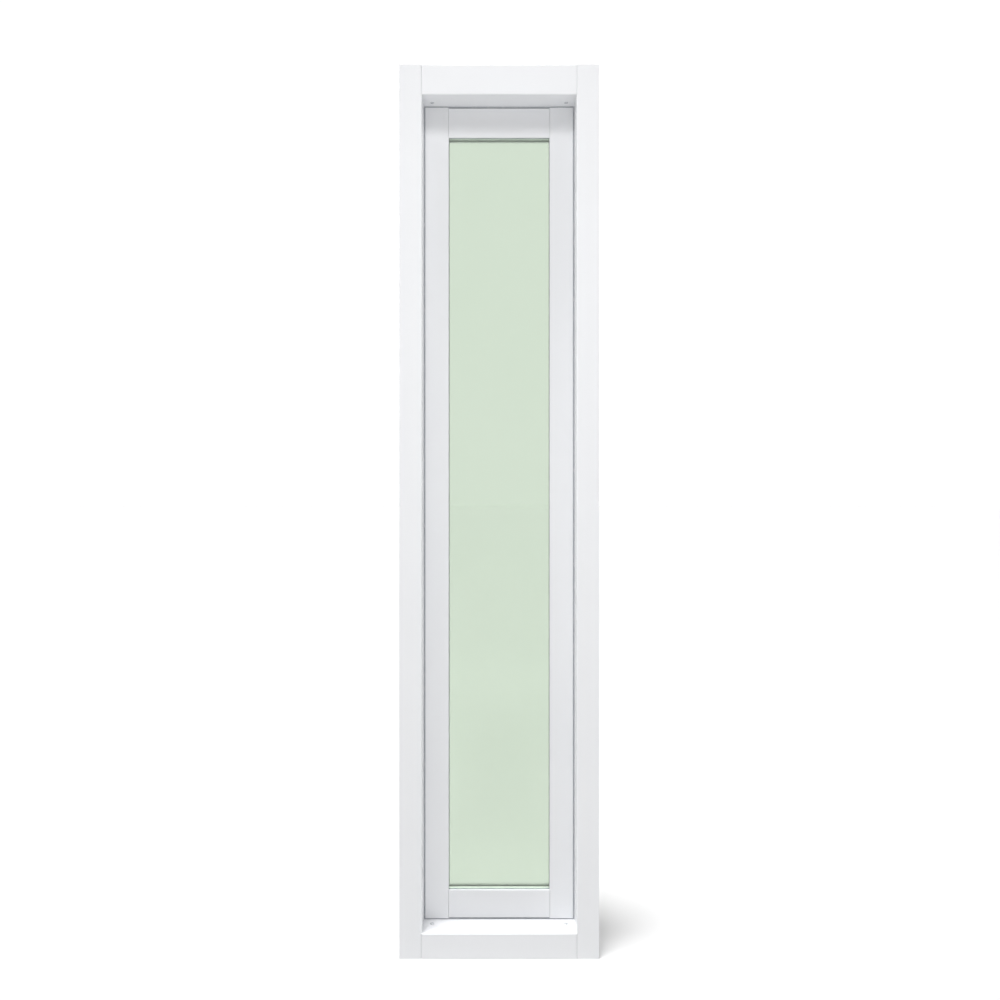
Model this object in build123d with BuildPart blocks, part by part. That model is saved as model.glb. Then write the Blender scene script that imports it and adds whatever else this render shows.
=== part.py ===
"""A tall, narrow aluminium window: a deep frame of butt-jointed hollow bars, with a glazed sash set back.

Millimetres, +Z up, +X to the right and +Y to the back, seen from the front. The origin is the middle of the
sill's underside. Every bar is drawn as the section it is extruded from, in a plane of its own: x runs from
the bar's outer edge towards the glass, y from the front to the back, and z along the bar.
"""

from build123d import *
import os

os.makedirs("parts", exist_ok=True)

# Overall size of the frame
window_height = 2057.0
window_width = 460.0
frame_depth = 100.0

# Widths of the frame bars, as seen from the front
jamb_face = 51.5
head_face = 68.5
sill_face = 58.2

# Frame section: a box with an open pocket along the middle of the reveal
frame_wall = 2.0
frame_corner = 1.0
reveal_corner = 2.5
pocket_width = 32.0
pocket_depth = 20.0
nib_reach = 1.4
nib_thickness = 1.0
nib_below_mouth = 4.0
flute_outer = 3.6
flute_bore = 2.1
flute_slot = 1.8
flute_rib = 1.8
flute_from_face = 16.0
flute_from_wall = 12.0

# Pocket filler: the flush strip that snaps into the pocket
filler_clearance = 0.3
filler_plate = 1.6
filler_leg = 1.2
filler_barb = 1.1
snap_play = 0.2

# Sash
sash_setback = 74.5
sash_depth = 40.0
sash_gap = 3.0
stile_face = 56.0
top_rail_face = 70.2
bottom_rail_face = 66.4
rail_inset = 1.4
sash_wall = 1.8
sash_corner = 1.2
rebate = 15.0
lip_thickness = 4.0
lip_chamfer = 1.6
joint_clearance = 0.1
flange_reach = 13.0
flange_at = 29.5
flange_thickness = 3.0
flange_corner = 0.8

# Glazing: a sealed unit of two panes, held between two gaskets
pane = 4.0
cavity = 12.0
glass_edge_gap = 5.0
front_gasket = 4.5
back_gasket = 3.0
gasket_width = 6.5
gasket_recess = 0.6
gasket_foot = 1.0
spacer_height = 5.0
spacer_wall = 0.6
spacer_corner = 1.2
spacer_from_edge = 3.5
block_length = 60.0
block_spacing = 150.0
block_from_leg = 0.5

# Glazing bead: a snap-in strip at the back of the sash
bead_wall = 1.4
bead_corner = 0.9
bead_clearance = 0.1
bead_leg_length = 3.8
bead_leg_gap = 1.3
bead_barb = 1.1
bead_nib = 1.0
bead_nib_thickness = 1.2

# Weather seals
gap_seal_setback = 1.5
gap_seal_depth = 6.0
flange_seal_width = 7.0
flange_seal_base = 1.0
flange_seal_wall = 0.9
flange_seal_from_tip = 1.0

# Places that follow from the sizes
opening_half = window_width / 2 - jamb_face
opening_low = sill_face
opening_high = window_height - head_face
sash_half = opening_half - sash_gap
sash_low = opening_low + sash_gap
sash_high = opening_high - sash_gap
sight_half = sash_half - stile_face
rebate_half = sight_half + rebate
rebate_low = sash_low + rail_inset + bottom_rail_face - rebate
rebate_high = sash_high - rail_inset - top_rail_face + rebate
flange_seal_depth = sash_setback + flange_at - frame_depth
glass_front = lip_thickness + front_gasket
glass_back = glass_front + pane + cavity + pane
bead_front = glass_back + back_gasket
bead_leg_tip = bead_front - bead_leg_length
bead_nib_at = bead_leg_tip + bead_barb + snap_play
pocket_start = (frame_depth - pocket_width) / 2
pocket_end = (frame_depth + pocket_width) / 2


def bar_planes(half_width, low, high, depth, uprights_end=0.0, rails_end=0.0):
    """Section planes and lengths of the four bars round a rectangle, cut short at both ends by given amounts.
    Each plane's x points at the middle of the rectangle, and its y to the back."""
    y = depth - frame_depth / 2
    tall = high - low - 2 * uprights_end
    wide = 2 * (half_width - rails_end)
    return {
        "left": (Plane((-half_width, y, low + uprights_end), (1, 0, 0), (0, 0, 1)), tall),
        "right": (Plane((half_width, y, high - uprights_end), (-1, 0, 0), (0, 0, -1)), tall),
        "bottom": (Plane((half_width - rails_end, y, low), (0, 0, 1), (-1, 0, 0)), wide),
        "top": (Plane((rails_end - half_width, y, high), (0, 0, -1), (1, 0, 0)), wide),
    }


def export(builder, name):
    """Labels a finished piece and writes it to its own file."""
    builder.part.label = name
    export_step(builder.part, f"parts/{name}.step")


def block(x_low, x_high, y_low, y_high, mode=Mode.ADD):
    """A rectangle between two edges each way, for the sketch being built."""
    with Locations(((x_low + x_high) / 2, (y_low + y_high) / 2)):
        Rectangle(x_high - x_low, y_high - y_low, mode=mode)


def outline(*points):
    """A face with straight sides between the points, for the sketch being built."""
    with BuildLine() as sides:
        Polyline(*points, close=True)
    make_face(sides.edges())


def corners(sketch, *points):
    """The sketch's vertices nearest the points."""
    return [sketch.vertices().sort_by_distance((x, y, 0))[0] for x, y in points]


def cut_ends(plane, length, reach, x_low, x_high, y_low, y_high):
    """Cuts the same block out of both ends of the bar being built, reach deep along it."""
    for start in (0.0, length - reach):
        with BuildSketch(plane.offset(start)) as notch:
            block(x_low, x_high, y_low, y_high)
        extrude(notch.sketch, amount=reach, mode=Mode.SUBTRACT)


def frame_section(sketch, face):
    """Box section, rounder towards the glass, with an open pocket there and a nib on each pocket wall."""
    floor = face - pocket_depth
    nib_top = face - nib_below_mouth
    block(0, face, 0, frame_depth)
    fillet(corners(sketch, (0, 0), (0, frame_depth)), frame_corner)
    fillet(corners(sketch, (face, 0), (face, frame_depth)), reveal_corner)
    block(frame_wall, face - frame_wall, frame_wall, frame_depth - frame_wall, mode=Mode.SUBTRACT)
    block(floor - frame_wall, face - frame_wall / 2, pocket_start - frame_wall, pocket_end + frame_wall)
    block(floor, face + frame_wall, pocket_start, pocket_end, mode=Mode.SUBTRACT)
    block(nib_top - nib_thickness, nib_top, pocket_start - frame_wall / 2, pocket_start + nib_reach)
    block(nib_top - nib_thickness, nib_top, pocket_end - nib_reach, pocket_end + frame_wall / 2)


def screw_flutes(face):
    """Open round ports on short ribs inside the head and the sill, for the screws through the jambs."""
    for wall, inwards in ((0, 1), (face, -1)):
        centre = wall + inwards * flute_from_wall
        rib_low, rib_high = sorted((wall + inwards * frame_wall / 2, centre))
        slot_low, slot_high = sorted((centre, centre + inwards * 2 * flute_outer))
        for y in (flute_from_face, frame_depth - flute_from_face):
            block(rib_low, rib_high, y - flute_rib / 2, y + flute_rib / 2)
            with Locations((centre, y)):
                Circle(flute_outer)
                Circle(flute_bore, mode=Mode.SUBTRACT)
            block(slot_low, slot_high, y - flute_slot / 2, y + flute_slot / 2, mode=Mode.SUBTRACT)


def filler_section():
    """Flat strip flush with the reveal, on two legs whose barbs hook under the nibs in the pocket."""
    barb_top = -nib_below_mouth - nib_thickness - snap_play
    leg_tip = barb_top - filler_barb
    block(-filler_plate, 0, pocket_start + filler_clearance, pocket_end - filler_clearance)
    for wall, inwards in ((pocket_start, 1), (pocket_end, -1)):
        leg_out = wall + inwards * (nib_reach + snap_play)
        leg_in = leg_out + inwards * filler_leg
        barb_tip = leg_out - inwards * filler_barb
        outline(
            (-filler_plate, leg_in),
            (leg_tip, leg_in),
            (leg_tip, leg_out),
            (barb_top, barb_tip),
            (barb_top, leg_out),
            (-filler_plate, leg_out),
        )


def sash_section(sketch, face):
    """Tube with a glazing lip in front, a nib for the bead, and a flange that overlaps the frame's back."""
    tube = face - rebate
    outline(
        (0, 0),
        (face, 0),
        (face, lip_thickness),
        (tube, lip_thickness),
        (tube, bead_nib_at),
        (tube + bead_nib, bead_nib_at),
        (tube + bead_nib, bead_nib_at + bead_nib_thickness),
        (tube, bead_nib_at + bead_nib_thickness),
        (tube, sash_depth),
        (0, sash_depth),
        (0, flange_at + flange_thickness),
        (-flange_reach, flange_at + flange_thickness),
        (-flange_reach, flange_at),
        (0, flange_at),
    )
    fillet(corners(sketch, (0, 0), (0, sash_depth), (tube, sash_depth)), sash_corner)
    fillet(corners(sketch, (-flange_reach, flange_at + flange_thickness)), flange_corner)
    chamfer(corners(sketch, (face, 0)), lip_chamfer)
    block(sash_wall, tube - sash_wall, sash_wall, sash_depth - sash_wall, mode=Mode.SUBTRACT)


def gasket_section(start, end):
    """Rubber strip between the glass and aluminium, narrower at the aluminium, just inside the sight line."""
    glass_side, metal_side = (end, start) if start < glass_front else (start, end)
    outline(
        (rebate - gasket_width, glass_side),
        (rebate - gasket_recess, glass_side),
        (rebate - gasket_recess, (glass_side + metal_side) / 2),
        (rebate - gasket_recess - gasket_foot, metal_side),
        (rebate - gasket_width + gasket_foot, metal_side),
    )


def bead_section(sketch):
    """Hollow strip with a leg that snaps behind the sash's nib."""
    leg = bead_leg_gap
    tip = bead_leg_tip
    block(bead_clearance, rebate, bead_front, sash_depth)
    fillet(corners(sketch, (rebate, sash_depth), (bead_clearance, sash_depth)), bead_corner)
    block(
        bead_clearance + bead_wall,
        rebate - bead_wall,
        bead_front + bead_wall,
        sash_depth - bead_wall,
        mode=Mode.SUBTRACT,
    )
    block(leg, leg + bead_wall, tip, bead_front)
    outline((leg, tip), (leg, tip + bead_barb), (leg - bead_barb, tip + bead_barb))


def spacer_section():
    """Hollow metal bar between the panes, near their edge."""
    outer = glass_edge_gap + spacer_from_edge
    with Locations((outer + spacer_height / 2, glass_front + pane + cavity / 2)):
        Rectangle(spacer_height, cavity)
        RectangleRounded(
            spacer_height - 2 * spacer_wall,
            cavity - 2 * spacer_wall,
            spacer_corner,
            mode=Mode.SUBTRACT,
        )


def flange_seal_section():
    """Hollow rubber bulb on a flat base, pressed between the sash's flange and the frame's back."""
    bulb = flange_seal_depth / 2
    middle = flange_seal_from_tip + flange_seal_width / 2
    with Locations((middle, bulb)):
        Circle(bulb)
    block(
        middle - flange_seal_width / 2,
        middle + flange_seal_width / 2,
        flange_seal_depth - flange_seal_base,
        flange_seal_depth,
    )
    with Locations((middle, bulb)):
        Circle(bulb - flange_seal_wall, mode=Mode.SUBTRACT)


# Frame: the jambs run the full height, and the head and the sill stand between them
frame_faces = {"left": jamb_face, "right": jamb_face, "bottom": sill_face, "top": head_face}
frame_names = {"left": "jamb_left", "right": "jamb_right", "bottom": "sill", "top": "head"}
frame_planes = bar_planes(window_width / 2, 0.0, window_height, depth=0.0, rails_end=jamb_face)
for side, (plane, length) in frame_planes.items():
    with BuildPart() as frame_bar:
        with BuildSketch(plane) as profile:
            frame_section(profile, frame_faces[side])
            if side in ("bottom", "top"):
                screw_flutes(frame_faces[side])
        extrude(amount=length)
    export(frame_bar, frame_names[side])

# Fillers, drawn from the reveal's face, so that they lie on the negative side of x
filler_planes = bar_planes(opening_half, opening_low, opening_high, depth=0.0)
for side, (plane, length) in filler_planes.items():
    with BuildPart() as filler:
        with BuildSketch(plane):
            filler_section()
        extrude(amount=length)
    export(filler, f"filler_{side}")

# Stiles: full height, with the flange running on past the tube at both ends
stile_planes = bar_planes(sash_half, sash_low - flange_reach, sash_high + flange_reach, depth=sash_setback)
for side in ("left", "right"):
    plane, length = stile_planes[side]
    with BuildPart() as stile:
        with BuildSketch(plane) as profile:
            sash_section(profile, stile_face)
        extrude(amount=length)
        cut_ends(plane, length, flange_reach, 0, stile_face, 0, sash_depth)
    export(stile, f"stile_{side}")

# Rails: the front stops at the stiles' lips, the tube behind it reaches the stiles' tubes, the flange goes on
rail_planes = bar_planes(sash_half, sash_low + rail_inset, sash_high - rail_inset, depth=sash_setback)
past_stile = -rail_inset - joint_clearance
nib_room = bead_nib + joint_clearance
nib_span = (bead_nib_at - joint_clearance, bead_nib_at + bead_nib_thickness + joint_clearance)
for side, face in (("bottom", bottom_rail_face), ("top", top_rail_face)):
    plane, length = rail_planes[side]
    with BuildPart() as rail:
        with BuildSketch(plane) as profile:
            sash_section(profile, face)
        extrude(amount=length)
        cut_ends(plane, length, sash_half - rebate_half, past_stile, face, 0, sash_depth)
        cut_ends(plane, length, stile_face, 0, face, 0, lip_thickness + joint_clearance)
        cut_ends(plane, length, sash_half - rebate_half + nib_room, past_stile, face, *nib_span)
    export(rail, f"{side}_rail")

# Seals in the gap round the sash
gap_planes = bar_planes(opening_half, opening_low, opening_high, depth=sash_setback, rails_end=sash_gap)
for side, (plane, length) in gap_planes.items():
    with BuildPart() as gap_seal:
        with BuildSketch(plane):
            block(0, sash_gap, gap_seal_setback, gap_seal_setback + gap_seal_depth)
        extrude(amount=length)
    export(gap_seal, f"gap_seal_{side}")

# Seals between the sash's flange and the back of the frame
flange_half = sash_half + flange_reach
seal_inner = flange_seal_from_tip + flange_seal_width
flange_low = sash_low + rail_inset - flange_reach
flange_high = sash_high - rail_inset + flange_reach
flange_planes = bar_planes(flange_half, flange_low, flange_high, depth=frame_depth, rails_end=seal_inner)
for side, (plane, length) in flange_planes.items():
    with BuildPart() as flange_seal:
        with BuildSketch(plane):
            flange_seal_section()
        extrude(amount=length)
    export(flange_seal, f"flange_seal_{side}")

# Gaskets on both sides of the glass: the uprights run the full height of the panes
gasket_planes = bar_planes(
    rebate_half,
    rebate_low,
    rebate_high,
    depth=sash_setback,
    uprights_end=glass_edge_gap,
    rails_end=rebate - gasket_recess,
)
for side, (plane, length) in gasket_planes.items():
    for name, start, end in (
        ("front_gasket", lip_thickness, glass_front),
        ("back_gasket", glass_back, bead_front),
    ):
        with BuildPart() as gasket:
            with BuildSketch(plane):
                gasket_section(start, end)
            extrude(amount=length)
        export(gasket, f"{name}_{side}")

# Beads: the top and bottom ones run from tube to tube, and the upright ones stand between them
bead_planes = bar_planes(rebate_half, rebate_low, rebate_high, depth=sash_setback, uprights_end=rebate)
for side, (plane, length) in bead_planes.items():
    with BuildPart() as bead:
        with BuildSketch(plane) as profile:
            bead_section(profile)
        extrude(amount=length)
        if side in ("bottom", "top"):
            cut_ends(plane, length, nib_room, 0, rebate, bead_leg_tip, bead_front)
    export(bead, f"bead_{side}")

# Spacer bars between the panes
spacer_end = glass_edge_gap + spacer_from_edge
spacer_planes = bar_planes(
    rebate_half,
    rebate_low,
    rebate_high,
    depth=sash_setback,
    uprights_end=spacer_end,
    rails_end=spacer_end + spacer_height,
)
for side, (plane, length) in spacer_planes.items():
    with BuildPart() as spacer:
        with BuildSketch(plane):
            spacer_section()
        extrude(amount=length)
    export(spacer, f"spacer_{side}")

# Panes, drawn as seen from the front
glass_width = 2 * (rebate_half - glass_edge_gap)
glass_height = rebate_high - rebate_low - 2 * glass_edge_gap
glass_middle = (rebate_low + rebate_high) / 2
for name, depth in (("outer_pane", glass_front), ("inner_pane", glass_back - pane)):
    pane_front = Plane((0, sash_setback + depth - frame_depth / 2, glass_middle), (1, 0, 0), (0, -1, 0))
    with BuildPart() as glass:
        with BuildSketch(pane_front):
            Rectangle(glass_width, glass_height)
        extrude(amount=-pane)
    export(glass, name)

# Setting blocks under the glass
for side, x in (("left", -block_spacing / 2), ("right", block_spacing / 2)):
    under_glass = Plane((x, sash_setback - frame_depth / 2, rebate_low), (1, 0, 0), (0, 0, 1))
    with BuildPart() as setting_block:
        with BuildSketch(under_glass):
            block(-block_length / 2, block_length / 2, glass_front, bead_leg_tip - block_from_leg)
        extrude(amount=glass_edge_gap)
    export(setting_block, f"setting_block_{side}")
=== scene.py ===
"""A white-coated aluminium window, standing on a pale floor in soft light.

Metres, +Z up, +X to the right and +Y to the back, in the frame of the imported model.
"""

import math

import bmesh
import bpy
from mathutils import Matrix, Vector


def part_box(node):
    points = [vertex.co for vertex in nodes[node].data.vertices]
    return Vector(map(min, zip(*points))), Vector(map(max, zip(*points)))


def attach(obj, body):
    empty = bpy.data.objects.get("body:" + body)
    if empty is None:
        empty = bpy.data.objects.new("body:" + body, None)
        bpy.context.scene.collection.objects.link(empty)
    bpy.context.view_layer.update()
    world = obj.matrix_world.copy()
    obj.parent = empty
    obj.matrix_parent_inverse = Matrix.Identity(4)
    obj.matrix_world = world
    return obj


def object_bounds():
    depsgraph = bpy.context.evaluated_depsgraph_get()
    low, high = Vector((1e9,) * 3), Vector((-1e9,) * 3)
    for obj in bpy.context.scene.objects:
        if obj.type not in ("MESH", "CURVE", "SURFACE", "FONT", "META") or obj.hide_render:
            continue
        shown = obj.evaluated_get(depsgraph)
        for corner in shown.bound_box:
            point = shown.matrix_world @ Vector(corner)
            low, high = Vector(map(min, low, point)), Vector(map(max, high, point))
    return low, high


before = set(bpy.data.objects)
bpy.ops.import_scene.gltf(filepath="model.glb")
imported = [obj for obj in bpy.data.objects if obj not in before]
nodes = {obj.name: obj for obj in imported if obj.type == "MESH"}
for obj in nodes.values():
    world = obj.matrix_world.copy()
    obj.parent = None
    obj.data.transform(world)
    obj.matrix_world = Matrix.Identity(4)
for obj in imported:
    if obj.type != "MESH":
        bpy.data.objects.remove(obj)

cad_low, cad_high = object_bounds()
MM = 0.001

# Camera: level and a little above the window's middle, with the frame shifted down to place the window in it
CAMERA_X = 0.002
CAMERA_DISTANCE = 2.30
CAMERA_HEIGHT = 1.1016
CAMERA_SHIFT = -0.020
CAMERA_SENSOR = 36.0
CAMERA_LENS = 36.0

# Distant lights: the way each travels, its strength, and the angle in degrees of the disc it comes from
SUNS = {
    "overhead": ((0.06, 0.10, -1.0), 2.90, 9),
    "rear": ((0.06, -0.10, -1.0), 0.60, 20),
    "front": ((0.0, 1.0, -0.85), 0.24, 14),
    "back": ((0.0, -1.0, -0.85), 0.35, 14),
    "fill_from_left": ((0.96, 0.20, -0.12), 1.20, 30),
    "fill_from_right": ((-0.96, 0.20, -0.12), 1.20, 30),
}

# Area lights, high in front of the window and behind it: the place of each, and its power
KEYS = {"key": ((-0.1, -2.8, 4.0), 2.3), "back_key": ((0.1, 2.8, 4.0), 1.9)}
KEY_TARGET = (0.0, 0.0, 1.35)
KEY_SIZE = 1.0
KEY_SPREAD = 34

# Surroundings: how bright they look, how much light they give to matt surfaces, and the floor's half width
WORLD_SEEN = 1.04
WORLD_ON_MATT = 0.05
FLOOR_HALF = 40.0

# Colours: the two ends of the variation over each surface
COAT_COLOURS = ((0.828, 0.836, 0.854), (0.840, 0.847, 0.863))
BARE_COLOURS = ((0.60, 0.61, 0.62), (0.70, 0.71, 0.72))
GLASS_COLOURS = ((0.780, 0.842, 0.765), (0.786, 0.846, 0.771))
DARK_RUBBER_COLOURS = ((0.040, 0.085, 0.120), (0.075, 0.120, 0.150))
GREY_RUBBER_COLOURS = ((0.400, 0.420, 0.450), (0.500, 0.500, 0.520))
PALE_RUBBER_COLOURS = ((0.620, 0.640, 0.640), (0.680, 0.690, 0.690))
# Spacer: the first colour is painted shade inside its tiny holes, the second its bare metal
SPACER_COLOURS = ((0.35, 0.35, 0.35), (0.90, 0.91, 0.92))
BLOCK_COLOURS = ((0.020, 0.020, 0.022), (0.035, 0.035, 0.038))
STEEL_COLOURS = ((0.52, 0.53, 0.55), (0.64, 0.65, 0.67))
FLOOR_COLOURS = ((0.738, 0.738, 0.738), (0.742, 0.742, 0.742))

# Limits that tell a sawn end from a side, and a jamb's hollow from its outside and its pocket
SAWN_END_NORMAL = 0.99
HOLLOW_FROM_SIDE = 1.5 * MM
POCKET_HALF_WIDTH = 17 * MM
POCKET_DEPTH = 20.5 * MM

# Screws: sizes and places
PAN_RADIUS = 4.4 * MM
PAN_HEIGHT = 2.6 * MM
REVEAL_SCREW_FROM_JAMB = 21.0 * MM
LOW_HEAD_RADIUS = 4.2 * MM
LOW_HEAD_HEIGHT = 1.6 * MM
FLUTE_FROM_FACE = 16.0 * MM
FLUTE_FROM_EDGE = 12.0 * MM
SCREW_SEGMENTS = 40

# Screw head: shares of its radius
SEAT_RADIUS = 0.94
CROWN_RADIUS = 0.62
SHOULDER_WIDTH = 0.38
DOME_RADIUS = 0.35
RECESS_REACH = 0.52
RECESS_HALF_WIDTH = 0.11

# Screw head: shares of its height
RIM_HEIGHT = 0.32
DOME_HEIGHT = 0.985
RECESS_DEPTH = 0.6

# Screw head: how much of the height over the rim the shoulder climbs, and in how many steps
SHOULDER_RISE = 0.86
SHOULDER_STEPS = 6

# Recess cutter: length and width of the cross at its deep end, as shares of those at its upper end
RECESS_DEEP_REACH = 0.45
RECESS_DEEP_WIDTH = 0.7

# Turns of the screws about their axes, in radians and in radians to the metre
SILL_SCREW_TURNS = {"left": 0.4, "right": 1.1}
HEAD_SCREW_EXTRA_TURN = 0.5
JOINT_TURN_BY_HEIGHT = 7.0
JOINT_TURN_BY_DEPTH = 3.0

scene = bpy.context.scene


def new_material(name):
    """An empty node material with its output and a Principled shader joined to it."""
    material = bpy.data.materials.new(name)
    material.use_nodes = True
    tree = material.node_tree
    tree.nodes.clear()
    output = tree.nodes.new("ShaderNodeOutputMaterial")
    shader = tree.nodes.new("ShaderNodeBsdfPrincipled")
    tree.links.new(shader.outputs["BSDF"], output.inputs["Surface"])
    return material, tree, shader


def add(tree, kind, **settings):
    """A node of that kind, with its properties and the default values of its inputs set."""
    node = tree.nodes.new(kind)
    for key, value in settings.items():
        if hasattr(node, key):
            setattr(node, key, value)
        else:
            node.inputs[key.replace("_", " ").title()].default_value = value
    return node


def place(tree):
    """The output that gives a point's place in metres, in the frame of its object."""
    return add(tree, "ShaderNodeTexCoord").outputs["Object"]


def noise(tree, size, detail=2.0, stretch=(1.0, 1.0, 1.0)):
    """Noise whose cells are about size metres across, drawn out along an axis where stretch is small."""
    scaled = add(tree, "ShaderNodeVectorMath", operation="MULTIPLY")
    scaled.inputs[1].default_value = stretch
    tree.links.new(place(tree), scaled.inputs[0])
    texture = add(tree, "ShaderNodeTexNoise", scale=1.0 / size, detail=detail, roughness=0.5)
    tree.links.new(scaled.outputs[0], texture.inputs["Vector"])
    return texture.outputs["Fac"]


def ramp(tree, value, low, high, start=0.3, end=0.7):
    """Maps start to low and end to high, smoothly, and holds the ends."""
    node = add(tree, "ShaderNodeMapRange", interpolation_type="SMOOTHSTEP")
    node.inputs["From Min"].default_value = start
    node.inputs["From Max"].default_value = end
    node.inputs["To Min"].default_value = low
    node.inputs["To Max"].default_value = high
    tree.links.new(value, node.inputs["Value"])
    return node.outputs["Result"]


def mix_colour(tree, factor, first, second):
    """Blends two colours by a factor output."""
    node = add(tree, "ShaderNodeMix", data_type="RGBA")
    tree.links.new(factor, node.inputs["Factor"])
    node.inputs["A"].default_value = (*first, 1.0)
    node.inputs["B"].default_value = (*second, 1.0)
    return node.outputs["Result"]


def bump(tree, shader, height, distance, strength):
    """Adds a bump to a shader: distance is its full height in metres, and strength its share of that."""
    node = add(tree, "ShaderNodeBump")
    node.inputs["Strength"].default_value = strength
    node.inputs["Distance"].default_value = distance
    tree.links.new(height, node.inputs["Height"])
    tree.links.new(node.outputs["Normal"], shader.inputs["Normal"])


def white_coat():
    """Semi-gloss white powder coat: a faint orange-peel surface, and gloss that varies a little."""
    material, tree, shader = new_material("white_powder_coat")
    tint = ramp(tree, noise(tree, size=0.31, detail=1.0), low=0.0, high=1.0, start=0.2, end=0.8)
    tree.links.new(mix_colour(tree, tint, *COAT_COLOURS), shader.inputs["Base Color"])
    gloss = ramp(tree, noise(tree, size=0.12, detail=1.0), low=0.22, high=0.27, start=0.2, end=0.8)
    tree.links.new(gloss, shader.inputs["Roughness"])
    shader.inputs["IOR"].default_value = 1.5
    bump(tree, shader, noise(tree, size=0.0022, detail=1.0), distance=0.00002, strength=0.35)
    return material


def bare_aluminium():
    """Saw-cut or extruded bare aluminium: fine lines, and roughness that varies along them."""
    material, tree, shader = new_material("bare_aluminium")
    lines = noise(tree, size=0.0006, detail=2.0, stretch=(1.0, 0.08, 1.0))
    shade = ramp(tree, noise(tree, size=0.008, detail=3.0), low=0.0, high=1.0)
    tree.links.new(mix_colour(tree, shade, *BARE_COLOURS), shader.inputs["Base Color"])
    shader.inputs["Metallic"].default_value = 1.0
    tree.links.new(ramp(tree, lines, low=0.28, high=0.45), shader.inputs["Roughness"])
    bump(tree, shader, lines, distance=0.00004, strength=0.5)
    return material


def pale_glass():
    """Pale green glass, whose tint and gloss vary very slightly."""
    material, tree, shader = new_material("pale_green_glass")
    tint = ramp(tree, noise(tree, size=0.35, detail=1.0), low=0.0, high=1.0)
    tree.links.new(mix_colour(tree, tint, *GLASS_COLOURS), shader.inputs["Base Color"])
    shader.inputs["Transmission Weight"].default_value = 1.0
    shader.inputs["IOR"].default_value = 1.5
    gloss = ramp(tree, noise(tree, size=0.08), low=0.02, high=0.05)
    tree.links.new(gloss, shader.inputs["Roughness"])
    return material


def soft_rubber(name, base, dusty):
    """Matt seal rubber with a fine grain, and a trace of dust that turns it from one colour to the other."""
    material, tree, shader = new_material(name)
    dust = ramp(tree, noise(tree, size=0.012, detail=4.0), low=0.0, high=1.0, start=0.45, end=0.75)
    tree.links.new(mix_colour(tree, dust, base, dusty), shader.inputs["Base Color"])
    gloss = ramp(tree, noise(tree, size=0.004), low=0.45, high=0.62)
    tree.links.new(gloss, shader.inputs["Roughness"])
    bump(tree, shader, noise(tree, size=0.0005, detail=1.0), distance=0.00003, strength=0.4)
    return material


def spacer_metal():
    """Rolled aluminium spacer with rows of tiny holes, which show on its face towards the cavity; each hole
    is a darker dot of painted shade, with a slight dip from the bump.
    """
    material, tree, shader = new_material("spacer_aluminium")
    dots = add(tree, "ShaderNodeTexVoronoi", scale=330.0, feature="F1")
    dots.inputs["Randomness"].default_value = 0.0
    tree.links.new(place(tree), dots.inputs["Vector"])
    # Darker dots of painted shade where the holes are; the same mask gives the bump's height
    painted_hole_shade = ramp(tree, dots.outputs["Distance"], low=0.0, high=1.0, start=0.10, end=0.16)
    tree.links.new(mix_colour(tree, painted_hole_shade, *SPACER_COLOURS), shader.inputs["Base Color"])
    shader.inputs["Metallic"].default_value = 0.9
    gloss = ramp(tree, noise(tree, size=0.003), low=0.35, high=0.5)
    tree.links.new(gloss, shader.inputs["Roughness"])
    bump(tree, shader, painted_hole_shade, distance=0.00005, strength=0.5)
    return material


def block_plastic():
    """Black moulded plastic with a fine grain."""
    material, tree, shader = new_material("setting_block_plastic")
    grain = noise(tree, size=0.0008, detail=2.0)
    tree.links.new(mix_colour(tree, grain, *BLOCK_COLOURS), shader.inputs["Base Color"])
    shader.inputs["Roughness"].default_value = 0.6
    bump(tree, shader, grain, distance=0.00003, strength=0.5)
    return material


def screw_steel():
    """Bright plated steel with fine turning marks."""
    material, tree, shader = new_material("plated_steel")
    marks = noise(tree, size=0.0004, detail=3.0)
    tree.links.new(mix_colour(tree, marks, *STEEL_COLOURS), shader.inputs["Base Color"])
    shader.inputs["Metallic"].default_value = 1.0
    tree.links.new(ramp(tree, marks, low=0.22, high=0.38), shader.inputs["Roughness"])
    bump(tree, shader, marks, distance=0.00002, strength=0.4)
    return material


def floor_paint():
    """Plain pale floor with a slight unevenness."""
    material, tree, shader = new_material("pale_floor")
    cloud = ramp(tree, noise(tree, size=1.7, detail=2.0), low=0.0, high=1.0)
    tree.links.new(mix_colour(tree, cloud, *FLOOR_COLOURS), shader.inputs["Base Color"])
    shader.inputs["Roughness"].default_value = 0.9
    shader.inputs["Specular IOR Level"].default_value = 0.0
    return material


COAT = white_coat()
BARE = bare_aluminium()
GLASS = pale_glass()
RUBBER = soft_rubber("dark_rubber", *DARK_RUBBER_COLOURS)
GAP_RUBBER = soft_rubber("grey_rubber", *GREY_RUBBER_COLOURS)
PALE_RUBBER = soft_rubber("pale_rubber", *PALE_RUBBER_COLOURS)
SPACER = spacer_metal()
BLOCK = block_plastic()
STEEL = screw_steel()


def set_materials(node, *materials):
    """Gives a carried-over node these material slots in place of its own."""
    node.data.materials.clear()
    for material in materials:
        node.data.materials.append(material)


def is_upright(node):
    """True for a bar that runs up and down."""
    low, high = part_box(node.name)
    return high.z - low.z > high.x - low.x


def in_tube(point, low, high, towards_glass):
    """True for a point on the inside of a jamb's hollow, and not in its pocket."""
    away_from_sides = min(point.x - low.x, high.x - point.x, point.y - low.y, high.y - point.y)
    reveal = high.x if towards_glass > 0 else low.x
    in_pocket = abs(point.y) < POCKET_HALF_WIDTH and abs(reveal - point.x) < POCKET_DEPTH
    return away_from_sides > HOLLOW_FROM_SIDE and not in_pocket


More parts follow.
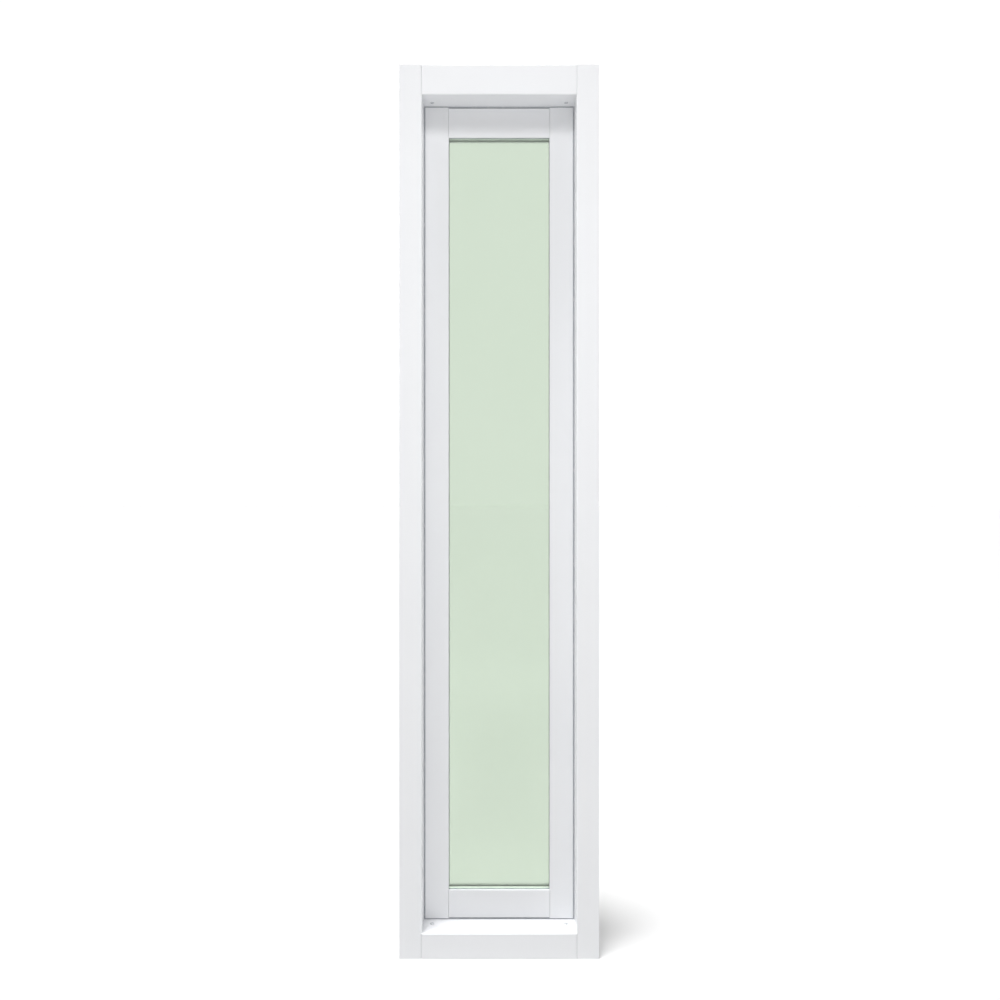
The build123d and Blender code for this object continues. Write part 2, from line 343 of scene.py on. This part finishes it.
def coat_bar(node):
    """White coat outside, and bare metal on the sawn ends and inside the jambs."""
    set_materials(node, COAT, BARE)
    low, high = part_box(node.name)
    axis = 2 if is_upright(node) else 0
    jamb = node.name.startswith("jamb")
    towards_glass = 1 if low.x < 0 else -1
    for face in node.data.polygons:
        sawn = abs(face.normal[axis]) > SAWN_END_NORMAL
        inside = jamb and in_tube(face.center, low, high, towards_glass)
        face.material_index = 1 if sawn or inside else 0


for name, node in nodes.items():
    if name.startswith(("front_gasket", "flange_seal")):
        set_materials(node, RUBBER)
    elif name.startswith("gap_seal"):
        set_materials(node, GAP_RUBBER)
    elif name.startswith("back_gasket"):
        set_materials(node, PALE_RUBBER)
    elif name.endswith("_pane"):
        set_materials(node, GLASS)
    elif name.startswith("spacer"):
        set_materials(node, SPACER)
    elif name.startswith("setting_block"):
        set_materials(node, BLOCK)
    else:
        coat_bar(node)


def lathe(name, profile, segments):
    """A closed mesh turned round its own z axis from (radius, height) points, from axis to axis."""
    shape = bmesh.new()
    rings = []
    for radius, height in profile:
        if radius == 0.0:
            rings.append([shape.verts.new((0.0, 0.0, height))])
            continue
        ring = []
        for step in range(segments):
            angle = 2 * math.pi * step / segments
            ring.append(shape.verts.new((radius * math.cos(angle), radius * math.sin(angle), height)))
        rings.append(ring)
    for lower, upper in zip(rings, rings[1:]):
        for step in range(segments):
            after = (step + 1) % segments
            corners = [
                lower[step % len(lower)],
                lower[after % len(lower)],
                upper[after % len(upper)],
                upper[step % len(upper)],
            ]
            shape.faces.new(list(dict.fromkeys(corners)))
    bmesh.ops.recalc_face_normals(shape, faces=shape.faces)
    mesh = bpy.data.meshes.new(name)
    shape.to_mesh(mesh)
    shape.free()
    mesh.polygons.foreach_set("use_smooth", [True] * len(mesh.polygons))
    return mesh


def cross_cutter(reach, half_width, top, depth):
    """A tapered cross that cuts the drive recess."""
    shape = bmesh.new()
    for turn in (0.0, math.pi / 2):
        arm = bmesh.ops.create_cube(shape, size=1.0)["verts"]
        for vert in arm:
            deep = vert.co.z < 0
            vert.co.x *= 2 * reach * (RECESS_DEEP_REACH if deep else 1.0)
            vert.co.y *= 2 * half_width * (RECESS_DEEP_WIDTH if deep else 1.0)
            vert.co.z = top - depth if deep else top + depth
        bmesh.ops.rotate(shape, verts=arm, matrix=Matrix.Rotation(turn, 3, "Z"))
    mesh = bpy.data.meshes.new("cutter")
    shape.to_mesh(mesh)
    shape.free()
    cutter = bpy.data.objects.new("cutter", mesh)
    scene.collection.objects.link(cutter)
    return cutter


def screw_head_mesh(name, radius, height):
    """A pan head with a rounded rim, a slight dome and a cross recess."""
    rim = RIM_HEIGHT * height
    shoulder = height - rim
    profile = [(0.0, 0.0), (radius * SEAT_RADIUS, 0.0), (radius, rim / 2), (radius, rim)]
    for step in range(1, SHOULDER_STEPS + 1):
        angle = step / SHOULDER_STEPS * math.pi / 2
        across = radius * (CROWN_RADIUS + SHOULDER_WIDTH * math.cos(angle))
        up = rim + shoulder * SHOULDER_RISE * math.sin(angle)
        profile.append((across, up))
    profile.append((radius * DOME_RADIUS, height * DOME_HEIGHT))
    profile.append((0.0, height))
    head = bpy.data.objects.new(name, lathe(name, profile, SCREW_SEGMENTS))
    scene.collection.objects.link(head)
    cutter = cross_cutter(
        radius * RECESS_REACH,
        radius * RECESS_HALF_WIDTH,
        height,
        height * RECESS_DEPTH,
    )
    cut = head.modifiers.new("recess", "BOOLEAN")
    cut.operation = "DIFFERENCE"
    cut.solver = "EXACT"
    cut.use_self = True
    cut.object = cutter
    bpy.context.view_layer.update()
    evaluated = head.evaluated_get(bpy.context.evaluated_depsgraph_get())
    finished = bpy.data.meshes.new_from_object(evaluated)
    bpy.data.objects.remove(head)
    bpy.data.objects.remove(cutter)
    finished.name = name
    return finished


def add_screw(name, mesh, point, outwards, turn):
    """A screw head seated on a surface, with its axis along outwards."""
    screw = bpy.data.objects.new(name, mesh)
    scene.collection.objects.link(screw)
    facing = Vector(outwards).to_track_quat("Z", "Y").to_matrix().to_4x4()
    screw.matrix_world = Matrix.Translation(point) @ facing @ Matrix.Rotation(turn, 4, "Z")
    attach(screw, "root")


jamb_low, jamb_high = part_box("jamb_left")
sill_low, sill_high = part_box("sill")
head_low, head_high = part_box("head")
opening_half = -jamb_high.x

pan_head = screw_head_mesh("pan_head", PAN_RADIUS, PAN_HEIGHT)
low_head = screw_head_mesh("low_head", LOW_HEAD_RADIUS, LOW_HEAD_HEIGHT)
for mesh in (pan_head, low_head):
    mesh.materials.clear()
    mesh.materials.append(STEEL)

screw_x = opening_half - REVEAL_SCREW_FROM_JAMB
for side, x in (("left", -screw_x), ("right", screw_x)):
    turn = SILL_SCREW_TURNS[side]
    add_screw(f"sill_screw_{side}", pan_head, Vector((x, 0.0, sill_high.z)), (0, 0, 1), turn)
    turn += HEAD_SCREW_EXTRA_TURN
    add_screw(f"head_screw_{side}", pan_head, Vector((x, 0.0, head_low.z)), (0, 0, -1), turn)

flute_heights = {
    "sill_low": sill_low.z + FLUTE_FROM_EDGE,
    "sill_high": sill_high.z - FLUTE_FROM_EDGE,
    "head_low": head_low.z + FLUTE_FROM_EDGE,
    "head_high": head_high.z - FLUTE_FROM_EDGE,
}
flute_depths = {"front": jamb_low.y + FLUTE_FROM_FACE, "back": jamb_high.y - FLUTE_FROM_FACE}
for side, outwards in (("left", -1), ("right", 1)):
    for level, z in flute_heights.items():
        for row, y in flute_depths.items():
            point = Vector((outwards * cad_high.x, y, z))
            turn = JOINT_TURN_BY_HEIGHT * z + JOINT_TURN_BY_DEPTH * y * outwards
            add_screw(f"joint_screw_{side}_{level}_{row}", low_head, point, (outwards, 0, 0), turn)


def add_floor():
    """A wide pale floor under the window."""
    half = FLOOR_HALF
    corners = [(-half, -half, 0), (half, -half, 0), (half, half, 0), (-half, half, 0)]
    mesh = bpy.data.meshes.new("floor")
    mesh.from_pydata(corners, [], [(0, 1, 2, 3)])
    mesh.materials.append(floor_paint())
    floor = bpy.data.objects.new("floor", mesh)
    scene.collection.objects.link(floor)


def add_world():
    """White surroundings, which give less light to matt surfaces than they show."""
    world = bpy.data.worlds.new("white_surroundings")
    scene.world = world
    world.use_nodes = True
    tree = world.node_tree
    background = tree.nodes["Background"]
    background.inputs["Color"].default_value = (1.0, 1.0, 1.0, 1.0)
    path = tree.nodes.new("ShaderNodeLightPath")
    strength = tree.nodes.new("ShaderNodeMapRange")
    strength.inputs["To Min"].default_value = WORLD_SEEN
    strength.inputs["To Max"].default_value = WORLD_ON_MATT
    tree.links.new(path.outputs["Is Diffuse Ray"], strength.inputs["Value"])
    tree.links.new(strength.outputs["Result"], background.inputs["Strength"])


def add_area_light(name, place_at, target, size, power, spread):
    """A square soft light that points at a target, and lights a cone of that many degrees."""
    light = bpy.data.lights.new(name, "AREA")
    light.shape = "SQUARE"
    light.size = size
    light.energy = power
    light.spread = math.radians(spread)
    lamp = bpy.data.objects.new(name, light)
    scene.collection.objects.link(lamp)
    lamp.location = place_at
    lamp.rotation_euler = (Vector(target) - Vector(place_at)).to_track_quat("-Z", "Y").to_euler()


def add_sun(name, direction, strength, spread):
    """A distant light that travels along direction, from a disc of that many degrees."""
    light = bpy.data.lights.new(name, "SUN")
    light.energy = strength
    light.angle = math.radians(spread)
    lamp = bpy.data.objects.new(name, light)
    scene.collection.objects.link(lamp)
    lamp.rotation_euler = Vector(direction).to_track_quat("-Z", "Y").to_euler()


def add_camera():
    """A level camera in front of the window, a little lower than the one that fits the photograph."""
    data = bpy.data.cameras.new("camera")
    data.sensor_width = CAMERA_SENSOR
    data.lens = CAMERA_LENS
    data.shift_y = CAMERA_SHIFT
    camera = bpy.data.objects.new("camera", data)
    scene.collection.objects.link(camera)
    camera.location = (CAMERA_X, cad_low.y - CAMERA_DISTANCE, CAMERA_HEIGHT)
    camera.rotation_euler = (math.pi / 2, 0.0, 0.0)
    scene.camera = camera


add_floor()
add_world()
for name, (direction, strength, spread) in SUNS.items():
    add_sun(name, direction, strength, spread)
for name, (place_at, power) in KEYS.items():
    add_area_light(name, place_at, KEY_TARGET, KEY_SIZE, power, KEY_SPREAD)
add_camera()
scene.view_settings.view_transform = "Standard"
